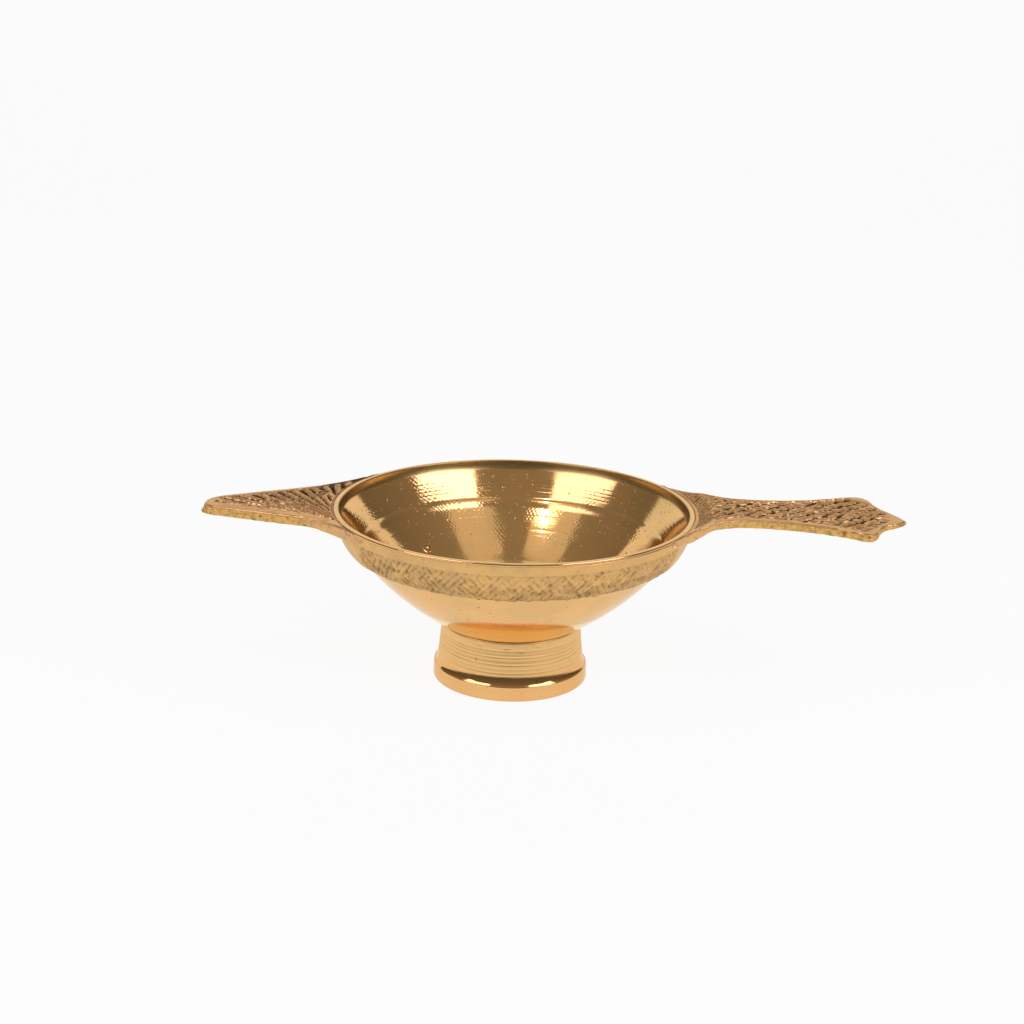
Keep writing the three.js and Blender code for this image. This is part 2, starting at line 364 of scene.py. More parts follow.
class Plate:
    """The shape of a flat casting, without its ornament."""

    def __init__(self, name, outline, reach, thick, thinner, lift, droop, skew, lean, draft, along, across):
        self.name = name
        self.outline_x = [p[0] for p in outline]  # distance from the bowl's axis
        self.outline_y = [p[1] for p in outline]  # half width there
        self.root_half = outline[0][1]
        self.reach = reach
        self.thick, self.thinner = thick, thinner  # thinner is what the tip loses
        self.lift = lift  # how far the top's plane stands above the lip
        self.slope = math.tan(math.radians(droop))
        self.skew, self.lean = skew, lean  # how far the end is out of square, and its point out of line
        self.draft = draft  # how far the top of the tip stands in from its foot
        self.along, self.across = along, across  # mesh steps

    def half_width(self, x):
        return float(np.interp(x, self.outline_x, self.outline_y))

    def plane(self, x, y=0.0):
        """Height of the plain top, which starts level with the lip and rises to its own plane."""
        rise = smooth(0, 5, math.hypot(x, y) - RIM_RADIUS)
        return RIM_HEIGHT + self.lift * rise - (x - RIM_RADIUS) * self.slope

    def root(self, share, radius):
        """Where the line at that share of the half width meets a circle round the bowl's axis."""
        low, high = self.outline_x[0] - 4, self.reach
        for _ in range(40):
            middle = (low + high) / 2
            if math.hypot(middle, share * self.half_width(middle)) < radius:
                low = middle
            else:
                high = middle
        return low

    def under(self, x, y):
        """Height of the underside, with the concave flare down onto the band."""
        flat = self.plane(x, y) - self.thick + self.thinner * smooth(self.reach - 9, self.reach, x)
        radius = math.hypot(x, y)
        run = min(max((RIM_RADIUS + 5 - radius) / (RIM_RADIUS + 5 - ROOT_UNDER), 0), 1)
        drop = (flat - FLARE_LOW) * run**3.4
        fade = 1 - smooth(0.35 * self.root_half, 0.95 * self.root_half, abs(y))
        thin = 0.5 * self.thick * smooth(0.6 * self.root_half, self.root_half, abs(y))
        return flat - drop * fade + thin - (1 - fade) * 1.2 * run


def make_plate(plate, relief, side_grain):
    """relief gives (height, patina) at (x, y), and side_grain the same at (x, z, side)."""
    bpy.ops.object.select_all(action="DESELECT")
    bpy.ops.mesh.primitive_grid_add(x_subdivisions=plate.along, y_subdivisions=plate.across, size=2)
    piece = bpy.context.object
    piece.name = piece.data.name = plate.name
    edit()
    for _ in range(SIDE_ROWS):
        bpy.ops.mesh.extrude_region_move(TRANSFORM_OT_translate={"value": (0, 0, -1)})
    bpy.ops.object.mode_set(mode="OBJECT")
    roots = {}
    patina, raw = [], []
    for vertex in piece.data.vertices:
        u, share, layer = (vertex.co.x + 1) / 2, vertex.co.y, -vertex.co.z
        key = round(share, 5)
        if key not in roots:
            # the underside ends inside the band, which is wider at the height of the root's corners
            low_root = ROOT_UNDER + (RIM_RADIUS - 0.5 - ROOT_UNDER) * smooth(0.35, 0.85, abs(share))
            roots[key] = (plate.root(share, ROOT_TOP), plate.root(share, low_root))
        u = 1 - (1 - u) ** 1.15  # closer together towards the tip
        top_x = roots[key][0] + (plate.reach - roots[key][0]) * u
        low_x = roots[key][1] + (plate.reach - roots[key][1]) * u
        top_y = share * plate.half_width(top_x)
        low_y = share * plate.half_width(low_x)
        edge = (1 - abs(share)) * plate.half_width(top_x)
        edge = min(edge, (plate.reach - top_x) * 0.8)
        top_z, brown = plate.plane(top_x, top_y), 0.0
        low_z = plate.under(low_x, low_y)
        if layer < 0.5:
            relief_height, brown = relief(top_x, top_y)
            top_z += relief_height
            top_z -= 0.22 * max(0, 1 - edge / ARRIS) ** 2
        share_down = layer / SIDE_ROWS
        if layer > SIDE_ROWS - 0.5:
            low_z += (0.2 + 0.5 * max(0, ripple(low_x, share, 17, 0.9))) * max(0, 1 - edge / 0.35) ** 2
            low_z += 0.09 * ripple(low_x, low_y, 9, 1.1) + 0.06 * ripple(low_x, low_y, 2, 3.1)
            brown = 0.35 + 0.4 * ripple(low_x, low_y, 4, 4)
        x = top_x + (low_x - top_x) * share_down
        y = top_y + (low_y - top_y) * share_down
        z = top_z + (low_z - top_z) * share_down
        if 0.5 < layer < SIDE_ROWS - 0.5 and abs(share) > 0.999:
            rough, brown = side_grain(x, z, math.copysign(1, share))
            clear = smooth(RIM_RADIUS + 0.5, RIM_RADIUS + 4, math.hypot(x, y))
            y += math.copysign(1, share) * (0.1 * math.sin(math.pi * share_down) + rough) * clear
        x += plate.skew * y * smooth(plate.reach - 15, plate.reach - 6, x)
        x -= plate.draft * (1 - share_down) * smooth(plate.reach - 6, plate.reach, x)
        y += plate.lean * smooth(plate.reach - 7, plate.reach, x)
        vertex.co = (x, y, z)
        patina.append(min(max(brown, 0), 1))
        raw.append(smooth(RAW_FROM, RAW_FULL, abs(x)) if layer > 0.5 else 0.0)
    store(piece, "patina", patina)
    store(piece, "raw", raw)
    return piece


def settle(piece, turned):
    """Turns a plate about the bowl's axis where it points along -X, and puts it in its place in metres."""
    matrix = Matrix.Translation((AXIS_X * MM, 0, 0)) @ Matrix.Scale(MM, 4)
    if turned:
        matrix = matrix @ Matrix.Rotation(math.pi, 4, "Z")
    piece.data.transform(matrix)
    return close_up(piece, 40)


leaf_half = [(30.4, 23.0)]
leaf_half += curve(leaf_half[-1], (38.6, 13.2), (44, 11.2), 16)
leaf_half += line(leaf_half[-1], (LEAF_REACH - 2.6, 3.7), 4)
leaf_half += curve(leaf_half[-1], (LEAF_REACH - 0.1, 2.3), (LEAF_REACH, 0), 10)

handle_half = [(32.3, 20.4)]
handle_half += curve(handle_half[-1], (40.4, 8.6), (48, 7.9), 16)
handle_half += curve(handle_half[-1], (60, 7.0), (71.5, 13.0), 14)
handle_half += curve(handle_half[-1], (75.0, 14.7), (76, 10.6), 12)
handle_half += curve(handle_half[-1], (76.8, 7.2), (78.2, 5.6), 8)
handle_half += curve(handle_half[-1], (80.6, 3.6), (HANDLE_REACH, 0), 8)

leaf_plate = Plate(
    "wick_leaf_cast", leaf_half, reach=LEAF_REACH, thick=2.1, thinner=0.0, lift=0.2, droop=1.6,
    skew=0.0, lean=0.0, draft=0.9, along=190, across=110)
handle_plate = Plate(
    "handle_cast", handle_half, reach=HANDLE_REACH, thick=1.8, thinner=0.9, lift=1.05, droop=1.3,
    skew=0.10, lean=-2.6, draft=0.3, along=250, across=100)

RIB_CENTRE = (33.0, 15.5)  # the leaf's ribs fan out from here; on a leaf that points along +X the front is +Y
RIB_STEP = math.radians(4.9)
KNOT = (41.4, -6.6)  # middle of the small whorl by the leaf's root
HANDLE_PIT = (49.0, -0.8)
SCALE_LENGTH, SCALE_WIDTH = 3.7, 3.3


def lip_groove(radius):
    """The chased line where a plate's top meets the lip."""
    return hump(radius - RIM_RADIUS - 0.35, 0.2)


def leaf_relief(x, y):
    grain = 0.02 * ripple(x, y, 3, 0.6) + 0.03 * ripple(x, y, 7, 2.4)
    half = leaf_plate.half_width(x)
    radius = math.hypot(x, y)
    front, back = half - y, y + half
    field = smooth(3.0, 3.8, front + 0.4 * ripple(x, y, 12, 1.5)) * smooth(1.1, 1.7, back)
    field *= smooth(RIM_RADIUS + 0.5, RIM_RADIUS + 1.0, radius)
    field *= smooth(LEAF_REACH - 2.4, LEAF_REACH - 4.5, x)
    by_lip = lip_groove(radius)
    angle = math.atan2(RIB_CENTRE[1] - y, x - RIB_CENTRE[0])
    away = math.hypot(RIB_CENTRE[1] - y, x - RIB_CENTRE[0])
    cell = angle / RIB_STEP + 0.16 * ripple(x, y, 0, 3) + 0.05 * ripple(x, y, 6, 0.8)
    beside = abs((cell % 1) - 0.5) * 2  # 0 in the middle of a groove, 1 on the crest of a rib
    width = 0.46 + 0.14 * smooth(16, 28, away) + 0.2 * ripple(x, y, 1, 1.8)
    groove = 1 - smooth(width * 0.45, width, beside)
    hair = (1 - smooth(0.03, 0.10, abs(beside - 0.78))) * smooth(-0.2, 0.3, ripple(x, y, 4, 2.0))
    height = -0.22 - 0.55 * groove - 0.12 * hair + 0.14 * ripple(x, y, 5, 0.8) + 0.26 * beside
    brown = 0.16 + 0.95 * groove * (0.65 + 0.5 * smooth(7, 2, back))
    brown += 0.5 * hair + 0.35 * ripple(x, y, 8, 0.8)
    dots = 0.0
    if 2.6 < front < 4.6:
        spaced = math.sin(x * 3.1 + 2 * ripple(x, y, 2, 3))
        dots = hump(front - 3.5, 0.4) * smooth(0.35, 0.9, spaced)
    knot_x, knot_y = x - KNOT[0], y - KNOT[1]
    knot = math.exp(-((math.hypot(knot_x, knot_y * 0.6) / 1.7) ** 4))
    swirl = 0.5 + 0.5 * math.sin(4.2 * math.hypot(knot_x, knot_y) + 2 * math.atan2(knot_y, knot_x))
    height = height * (1 - knot) + knot * (-0.1 - 0.35 * swirl)
    brown = brown * (1 - knot) + knot * (0.2 + 0.8 * swirl)
    total = field * height + grain - 0.16 * dots - 0.15 * by_lip
    shade = smooth(46, 38, x) * smooth(3.2, 1.0, back)  # browner towards the back of the root, by the lip
    stain = 0.33 + 0.22 * ripple(x, y, 11, 5) + 0.14 * ripple(x, y, 15, 1.3) + 0.45 * shade
    return total, field * brown + (1 - field) * stain + 0.55 * dots + 0.4 * by_lip


def scales(x, y):
    """(height, groove) of the handle's fish scales: a lattice of lozenges cut freehand."""
    x += 0.8 * ripple(x, y, 31, 4.2) + 0.35 * ripple(x, y, 33, 1.5) + 0.12 * ripple(x, y, 34, 0.7)
    y += 0.9 * ripple(x, y, 41, 4.2) + 0.4 * ripple(x, y, 43, 1.5) + 0.12 * ripple(x, y, 44, 0.7)
    p, q = x / SCALE_LENGTH + y / SCALE_WIDTH, x / SCALE_LENGTH - y / SCALE_WIDTH
    near_p, near_q = min(p % 1, 1 - p % 1), min(q % 1, 1 - q % 1)
    wide = 0.18 + 0.16 * ripple(x, y, 36, 1.6)
    faint = smooth(-0.65, -0.1, ripple(x, y, 37, 2.6))  # some cuts are shallow
    groove = max((1 - smooth(0.25 * wide, wide, near_p)) * faint, 1 - smooth(0.25 * wide, wide, near_q))
    swell = smooth(0.05, 0.5, min(near_p, near_q))
    lean = (p % 1 + q % 1) / 2  # a scale rises towards its outer point
    nick = hump((p - q) % 1 - 0.5, 0.08) * swell
    return -0.28 - 0.38 * groove + 0.20 * swell + 0.14 * lean - 0.10 * nick, groove + 0.3 * nick


def handle_relief(x, y):
    grain = 0.02 * ripple(x, y, 23, 0.6) + 0.03 * ripple(x, y, 27, 2.4)
    half = handle_plate.half_width(x)
    radius = math.hypot(x, y)
    front, back = half + y, half - y
    field = smooth(1.6, 2.3, front + 0.4 * ripple(x, y, 29, 1.7)) * smooth(0.7, 1.2, back)
    field *= smooth(RIM_RADIUS + 0.5, RIM_RADIUS + 1.0, radius)
    field *= smooth(HANDLE_REACH - 2.6, HANDLE_REACH - 4.4, x + 0.05 * y * y)
    by_lip = lip_groove(radius)
    ring = radius - RIM_RADIUS - 0.9
    if ring < 2.6:  # hatching that follows the rim
        across = math.atan2(y, x) * RIM_RADIUS + 0.3 * ripple(x, y, 31, 1.5)
        one, other = wave((across + ring * 1.3) / 1.25), wave((across - ring * 1.1) / 1.4)
        groove = max(smooth(0.55, 0.9, one), 0.7 * smooth(0.6, 0.95, other))
        height = -0.12 - 0.26 * groove
    else:
        height, groove = scales(x, y)
    height += 0.07 * ripple(x, y, 35, 0.8)
    brown = 0.08 + 1.0 * groove + 0.34 * ripple(x, y, 38, 1.0)
    pit = hump(math.hypot(x - HANDLE_PIT[0], y - HANDLE_PIT[1]), 0.55)
    stain = 0.10 + 0.22 * ripple(x, y, 51, 5) + 0.12 * ripple(x, y, 55, 1.3)
    total = field * height + grain - 0.15 * by_lip - 0.5 * pit
    return total, field * brown + (1 - field) * stain + 0.35 * by_lip + 1.2 * pit


def side_brown(rough, x, z, side):
    """Brown gathers in the hollows of a side."""
    return 0.25 + 0.35 * min(max(0, -rough / 0.12), 1) + 0.2 * ripple(x, z, side, 1.4)


def leaf_side(x, z, side):
    rough = 0.14 * ripple(x, z, side * 3, 1.0) + 0.12 * ripple(x, z, side * 7, 0.5)
    return rough, side_brown(rough, x, z, side)


def handle_side(x, z, side):
    nicks = smooth(64, 68, x) * smooth(77, 75, x)
    rough = 0.12 * ripple(x, z, side * 5, 0.9) + 0.10 * ripple(x, z, side * 9, 0.5)
    rough += 0.22 * nicks * ripple(x, z * 0.5, side * 2, 0.8)
    return rough, side_brown(rough, x, z, side)


def make_leaf():
    return settle(make_plate(leaf_plate, leaf_relief, leaf_side), True)


def make_handle():
    return settle(make_plate(handle_plate, handle_relief, handle_side), False)


def make_filler(name, facing, half_angle):
    """A bead of filler metal along a root, spun round the bowl's axis."""
    bead, centre_r, centre_z = 0.34, RIM_RADIUS + 0.12, BAND_TOP
    bpy.ops.object.select_all(action="DESELECT")
    bpy.ops.mesh.primitive_circle_add(
        vertices=12, radius=bead * MM, location=((AXIS_X + centre_r) * MM, 0, centre_z * MM),
        rotation=(math.pi / 2, 0, 0),
    )
    piece = bpy.context.object
    piece.name = piece.data.name = name
    bpy.ops.object.transform_apply(location=True, rotation=True)
    piece.data.transform(
        Matrix.Translation((AXIS_X * MM, 0, 0))
        @ Matrix.Rotation(facing - half_angle, 4, "Z")
        @ Matrix.Translation((-AXIS_X * MM, 0, 0))
    )
    edit()
    bpy.ops.mesh.spin(steps=120, angle=2 * half_angle, center=(AXIS_X * MM, 0, 0), axis=(0, 0, 1))
    bpy.ops.mesh.select_all(action="DESELECT")
    bpy.ops.mesh.select_non_manifold()
    bpy.ops.mesh.edge_face_add()
    bpy.ops.object.mode_set(mode="OBJECT")
    for vertex in piece.data.vertices:
        radius, angle, z = polar(vertex)
        from_end = half_angle - abs(math.remainder(angle - facing, math.tau))
        slim = 0.25 + 0.75 * smooth(0, 0.12, from_end)
        swell = slim * (1 + 0.18 * ripple(math.cos(angle) * 38, math.sin(angle) * 38, 0, 1.6))
        vertex.co = place(centre_r + (radius - centre_r) * swell, angle, centre_z + (z - centre_z) * swell)
    return close_up(piece, 60)


# ---- materials -----------------------------------------------------------------------------------------

BRIGHT_BRASS = (0.84, 0.49, 0.20, 1)
WARM_BRASS = (0.80, 0.44, 0.165, 1)
GREEN_BRASS = (0.66, 0.45, 0.19, 1)
CAST_BRASS = (0.78, 0.46, 0.20, 1)
YELLOW_BRASS = (0.82, 0.50, 0.15, 1)
DULL_BRASS = (0.56, 0.37, 0.185, 1)
BROWN = (0.085, 0.045, 0.022, 1)
LOW_BRASS = (0.95, 0.70, 0.38, 1)  # the bowl low down, both by its foot and on its floor inside
# painted shade: darker brass for the bowl just under its lip, on the inside
UNDER_LIP_SHADE_BRASS = (0.40, 0.29, 0.12, 1)  # the bowl just under its lip
SATIN_BRASS = (0.86, 0.54, 0.22, 1)  # the foot above its cove
BAND_BRASS = (0.76, 0.45, 0.165, 1)
SAND_BROWN = (0.46, 0.28, 0.10, 1)  # hollows in a raw casting
EDGE_TINT = (0.97, 0.89, 0.76, 1)  # brass seen at a low angle stays golden
WALL_RING_MARK = (-19.0, 15.7, 22.6)  # from the bowl's axis, low on the wall


def new_group(name, inputs, outputs):
    group = bpy.data.node_groups.new(name, "ShaderNodeTree")
    for label, kind, default in inputs:
        socket = group.interface.new_socket(label, in_out="INPUT", socket_type=kind)
        if default is not None:
            socket.default_value = default
    for label, kind in outputs:
        group.interface.new_socket(label, in_out="OUTPUT", socket_type=kind)
    return group, group.nodes.new("NodeGroupInput"), group.nodes.new("NodeGroupOutput")


def math_node(tree, operation, first, second=None):
    node = tree.nodes.new("ShaderNodeMath")
    node.operation = operation
    for socket, value in zip(node.inputs, (first, second)):
        if isinstance(value, bpy.types.NodeSocket):
            tree.links.new(value, socket)
        elif value is not None:
            socket.default_value = value
    return node.outputs[0]


def sum_of(tree, *values):
    total = values[0]
    for value in values[1:]:
        total = math_node(tree, "ADD", total, value)
    return total


def product(tree, first, second):
    return math_node(tree, "MULTIPLY", first, second)


def noise_node(tree, vector, scale, detail, roughness=0.5):
    node = tree.nodes.new("ShaderNodeTexNoise")
    node.inputs["Detail"].default_value = detail
    node.inputs["Roughness"].default_value = roughness
    tree.links.new(vector, node.inputs["Vector"])
    if isinstance(scale, bpy.types.NodeSocket):
        tree.links.new(scale, node.inputs["Scale"])
    else:
        node.inputs["Scale"].default_value = scale
    return node.outputs["Fac"]


def spread(tree, value, low, high, to_low=0.0, to_high=1.0):
    node = tree.nodes.new("ShaderNodeMapRange")
    node.interpolation_type = "SMOOTHSTEP"
    for label, number in (("From Min", low), ("From Max", high), ("To Min", to_low), ("To Max", to_high)):
        node.inputs[label].default_value = number
    tree.links.new(value, node.inputs["Value"])
    return node.outputs["Result"]


def mix_color(tree, share, first, second):
    node = tree.nodes.new("ShaderNodeMix")
    node.data_type = "RGBA"
    for socket, value in ((node.inputs[0], share), (node.inputs[6], first), (node.inputs[7], second)):
        if isinstance(value, bpy.types.NodeSocket):
            tree.links.new(value, socket)
        else:
            socket.default_value = value
    return node.outputs[2]


def turning_group():
    """Rings round the lamp's axis, as a lathe tool leaves them, broken up a little along their length."""
    group, given, result = new_group(
        "turning_marks",
        [("Vector", "NodeSocketVector", None), ("Spacing", "NodeSocketFloat", 2000.0),
         ("Scratches", "NodeSocketFloat", 0.3)],
        [("Height", "NodeSocketFloat"), ("Worn", "NodeSocketFloat")],
    )
    split = group.nodes.new("ShaderNodeSeparateXYZ")
    group.links.new(given.outputs["Vector"], split.inputs[0])
    square = sum_of(group, product(group, split.outputs[0], split.outputs[0]),
                    product(group, split.outputs[1], split.outputs[1]))
    radius = math_node(group, "SQRT", square)
    flat = group.nodes.new("ShaderNodeCombineXYZ")
    group.links.new(radius, flat.inputs[0])
    group.links.new(split.outputs[2], flat.inputs[1])
    fine = noise_node(group, flat.outputs[0], given.outputs["Spacing"], 3.0, 0.6)
    spacing = given.outputs["Spacing"]
    coarse = noise_node(group, flat.outputs[0], product(group, spacing, 0.28), 1.0)
    chatter = noise_node(group, given.outputs["Vector"], product(group, spacing, 0.45), 2.0)
    height = sum_of(group, product(group, fine, 0.6), product(group, coarse, 0.6),
                    product(group, chatter, given.outputs["Scratches"]))
    group.links.new(height, result.inputs["Height"])
    group.links.new(spread(group, fine, 0.35, 0.65), result.inputs["Worn"])
    return group


def chatter_group():
    """The criss-cross of a tool that shook as it cut: two sets of slanting ridges round the axis."""
    group, given, result = new_group(
        "tool_chatter",
        [("Vector", "NodeSocketVector", None), ("Around", "NodeSocketFloat", 190.0),
         ("Up", "NodeSocketFloat", 6500.0)],
        [("Height", "NodeSocketFloat")],
    )
    split = group.nodes.new("ShaderNodeSeparateXYZ")
    group.links.new(given.outputs["Vector"], split.inputs[0])
    angle = math_node(group, "ARCTAN2", split.outputs[1], split.outputs[0])
    around = product(group, angle, given.outputs["Around"])
    up = product(group, split.outputs[2], given.outputs["Up"])
    sway = product(group, noise_node(group, given.outputs["Vector"], 260.0, 2.0), 16.0)
    one = math_node(group, "SINE", sum_of(group, around, up, sway))
    other = math_node(group, "SINE", math_node(group, "SUBTRACT", sum_of(group, around, sway), up))
    where = spread(group, noise_node(group, given.outputs["Vector"], 170.0, 3.0), 0.42, 0.66)
    broken = noise_node(group, given.outputs["Vector"], 1500.0, 2.0)
    ridges = sum_of(group, one, other, product(group, broken, 4.0))
    group.links.new(product(group, ridges, where), result.inputs["Height"])
    return group


def tarnish_group():
    """Soft clouds and small specks of darker metal."""
    group, given, result = new_group(
        "tarnish",
        [("Vector", "NodeSocketVector", None), ("Clouds", "NodeSocketFloat", 90.0),
         ("Specks", "NodeSocketFloat", 900.0)],
        [("Cloud", "NodeSocketFloat"), ("Speck", "NodeSocketFloat")],
    )
    cloud = noise_node(group, given.outputs["Vector"], given.outputs["Clouds"], 4.0, 0.6)
    group.links.new(spread(group, cloud, 0.35, 0.7), result.inputs["Cloud"])
    speck = noise_node(group, given.outputs["Vector"], given.outputs["Specks"], 2.0, 0.5)
    group.links.new(spread(group, speck, 0.68, 0.76), result.inputs["Speck"])
    return group


def casting_group():
    """The skin of a sand casting: fine grain with scattered pits."""
    group, given, result = new_group(
        "casting_skin",
        [("Vector", "NodeSocketVector", None), ("Grain", "NodeSocketFloat", 1800.0)],
        [("Height", "NodeSocketFloat"), ("Pit", "NodeSocketFloat")],
    )
    vector, size = given.outputs["Vector"], given.outputs["Grain"]
    grain = noise_node(group, vector, size, 5.0, 0.65)
    lumps = noise_node(group, vector, product(group, size, 0.3), 2.0)
    pit = spread(group, noise_node(group, vector, product(group, size, 0.55), 1.0), 0.66, 0.74)
    skin = sum_of(group, grain, product(group, lumps, 1.2))
    group.links.new(math_node(group, "SUBTRACT", skin, product(group, pit, 0.8)), result.inputs["Height"])
    group.links.new(pit, result.inputs["Pit"])
    return group


turning_marks = turning_group()
tool_chatter = chatter_group()
tarnish = tarnish_group()
casting_skin = casting_group()


def use_group(tree, group, vector, **values):
    node = tree.nodes.new("ShaderNodeGroup")
    node.node_tree = group
    tree.links.new(vector, node.inputs["Vector"])
    for label, value in values.items():
        node.inputs[label].default_value = value
    return node


def start_material(name):
    """A metal material: its tree, its shader and Object coordinates centred on the lamp's axis."""
    material = bpy.data.materials.new(name)
    material.use_nodes = True
    tree = material.node_tree
    shader = tree.nodes["Principled BSDF"]
    shader.inputs["Metallic"].default_value = 1.0
    shader.inputs["Specular Tint"].default_value = EDGE_TINT
    coordinates = tree.nodes.new("ShaderNodeTexCoord")
    centred = tree.nodes.new("ShaderNodeMapping")
    centred.inputs["Location"].default_value = (-AXIS_X * MM, 0, 0)
    tree.links.new(coordinates.outputs["Object"], centred.inputs["Vector"])
    return material, tree, shader, centred.outputs[0]


def bump(tree, shader, height, strength, distance):
    node = tree.nodes.new("ShaderNodeBump")
    node.inputs["Strength"].default_value = strength
    node.inputs["Distance"].default_value = distance * MM
    tree.links.new(height, node.inputs["Height"])
    tree.links.new(node.outputs[0], shader.inputs["Normal"])


def mark_at(tree, vector, spot, size):
    """A mask of a small ring round a spot, which the bowl raises in its bump and browns a little."""
    away = tree.nodes.new("ShaderNodeVectorMath")
    away.operation = "DISTANCE"
    tree.links.new(vector, away.inputs[0])
    away.inputs[1].default_value = [value * MM for value in spot]
    ring = math_node(tree, "ABSOLUTE", math_node(tree, "SUBTRACT", away.outputs["Value"], size * MM))
    return spread(tree, ring, 0.45 * MM, 0.1 * MM)


def height_mask(tree, vector, low, high, to_low=0.0, to_high=1.0):
    """A value that goes over from to_low to to_high between two heights."""
    split = tree.nodes.new("ShaderNodeSeparateXYZ")
    tree.links.new(vector, split.inputs[0])
    return spread(tree, split.outputs["Z"], low * MM, high * MM, to_low, to_high)


def radius_mask(tree, vector, within):
    """1 inside a radius round the lamp's axis."""
    flat = tree.nodes.new("ShaderNodeVectorMath")
    flat.operation = "MULTIPLY"
    tree.links.new(vector, flat.inputs[0])
    flat.inputs[1].default_value = (1, 1, 0)
    out = tree.nodes.new("ShaderNodeVectorMath")
    out.operation = "LENGTH"
    tree.links.new(flat.outputs[0], out.inputs[0])
    return spread(tree, out.outputs["Value"], (within + 0.1) * MM, within * MM)


def turned_brass(name, rough, rough_more, spacing, scratches, second, worn, specks, strength, distance):
    """Turned brass with tool rings, clouds and specks. Gives back what finish_turned still needs."""
    material, tree, shader, vector = start_material(name)
    marks = use_group(tree, turning_marks, vector, Spacing=spacing, Scratches=scratches)
    stains = use_group(tree, tarnish, vector, Clouds=110.0, Specks=1300.0)
    color = mix_color(tree, product(tree, stains.outputs["Cloud"], 0.8), BRIGHT_BRASS, second)
    color = mix_color(tree, product(tree, marks.outputs["Worn"], worn), color, WARM_BRASS)
    uneven = product(tree, sum_of(tree, marks.outputs["Worn"], stains.outputs["Cloud"]), rough_more)
    return dict(
        material=material, tree=tree, shader=shader, vector=vector, color=color,
        speck=product(tree, stains.outputs["Speck"], specks), pit=stains.outputs["Speck"],
        height=marks.outputs["Height"], rough=sum_of(tree, uneven, rough), strength=strength,
        distance=distance)


def duller_zone(look, zone, color, rough):
    """Goes over to another colour and a rougher finish where zone is 1."""
    tree = look["tree"]
    look["color"] = mix_color(tree, zone, look["color"], color)
    look["rough"] = sum_of(tree, look["rough"], product(tree, zone, rough))


def finish_turned(look):
    tree, shader = look["tree"], look["shader"]
    tree.links.new(mix_color(tree, look["speck"], look["color"], BROWN), shader.inputs["Base Color"])
    tree.links.new(look["rough"], shader.inputs["Roughness"])
    bump(tree, shader, look["height"], look["strength"], look["distance"])
    return look["material"]


def make_bowl_brass():
    look = turned_brass(
        "buffed_bowl_brass", rough=0.05, rough_more=0.05, spacing=2600.0, scratches=0.35, second=GREEN_BRASS,
        worn=0.5, specks=0.6, strength=0.6, distance=0.032)
    tree, vector = look["tree"], look["vector"]
    rings = product(tree, look["height"], height_mask(tree, vector, 27.0, 29.0, 0.35, 1.0))  # calmer low down
    shake = product(tree, use_group(tree, tool_chatter, vector).outputs["Height"], 0.15)
    mark = mark_at(tree, vector, WALL_RING_MARK, 0.75)
    raised = sum_of(tree, rings, shake, product(tree, mark, 6.0))
    look["height"] = math_node(tree, "SUBTRACT", raised, product(tree, look["pit"], 2.0))
    look["speck"] = sum_of(tree, look["speck"], product(tree, mark, 0.25))
    look["color"] = mix_color(tree, height_mask(tree, vector, 19.0, 17.5), look["color"], LOW_BRASS)
    # painted shade: darker brass just under the lip, on the inside, also rougher
    painted_shade_under_lip = product(tree, height_mask(tree, vector, 35.2, 36.0), radius_mask(tree, vector, 37.0))
    duller_zone(look, painted_shade_under_lip, UNDER_LIP_SHADE_BRASS, 0.22)
    return finish_turned(look)


def make_foot_brass():
    look = turned_brass(
        "satin_foot_brass", rough=0.07, rough_more=0.04, spacing=1900.0, scratches=0.35, second=WARM_BRASS,
        worn=0.6, specks=0.5, strength=0.5, distance=0.03)
    tree, vector = look["tree"], look["vector"]
    duller_zone(look, height_mask(tree, vector, COVE_TOP - 0.3, COVE_TOP), SATIN_BRASS, 0.28)
    return finish_turned(look)


def make_filler_brass():
    return finish_turned(turned_brass(
        "filed_filler_brass", rough=0.26, rough_more=0.08, spacing=1500.0, scratches=0.8, second=DULL_BRASS,
        worn=0.3, specks=0.8, strength=0.5, distance=0.04))


def cast_brass(name, rough, patina, darkest, dull, clean, grain, strength, distance, raw_more=0.0):
    """Cast brass, brown where the piece's patina says so. With raw_more, the sides are left raw as well."""
    material, tree, shader, vector = start_material(name)
    skin = use_group(tree, casting_skin, vector, Grain=grain)
    stains = use_group(tree, tarnish, vector, Clouds=160.0, Specks=1100.0)
    stored = tree.nodes.new("ShaderNodeAttribute")
    stored.attribute_name = "patina"
    brown = sum_of(tree, stored.outputs["Fac"], product(tree, skin.outputs["Pit"], 0.2),
                   product(tree, stains.outputs["Speck"], 0.15))
    brown = product(tree, spread(tree, brown, *patina), darkest)
    metal = mix_color(tree, product(tree, stains.outputs["Cloud"], dull), clean, DULL_BRASS)
    height = skin.outputs["Height"]
    if raw_more:
        raw = tree.nodes.new("ShaderNodeAttribute")
        raw.attribute_name = "raw"
        mottled = spread(tree, noise_node(tree, vector, 900.0, 4.0, 0.65), 0.46, 0.70)
        metal = mix_color(tree, raw.outputs["Fac"], metal, mix_color(tree, mottled, YELLOW_BRASS, SAND_BROWN))
        height = product(tree, height, sum_of(tree, product(tree, raw.outputs["Fac"], raw_more), 1.0))
    tree.links.new(mix_color(tree, brown, metal, BROWN), shader.inputs["Base Color"])
    rougher = product(tree, sum_of(tree, brown, stains.outputs["Cloud"]), 0.12)
    tree.links.new(sum_of(tree, rougher, rough), shader.inputs["Roughness"])
    bump(tree, shader, height, strength, distance)
    return material


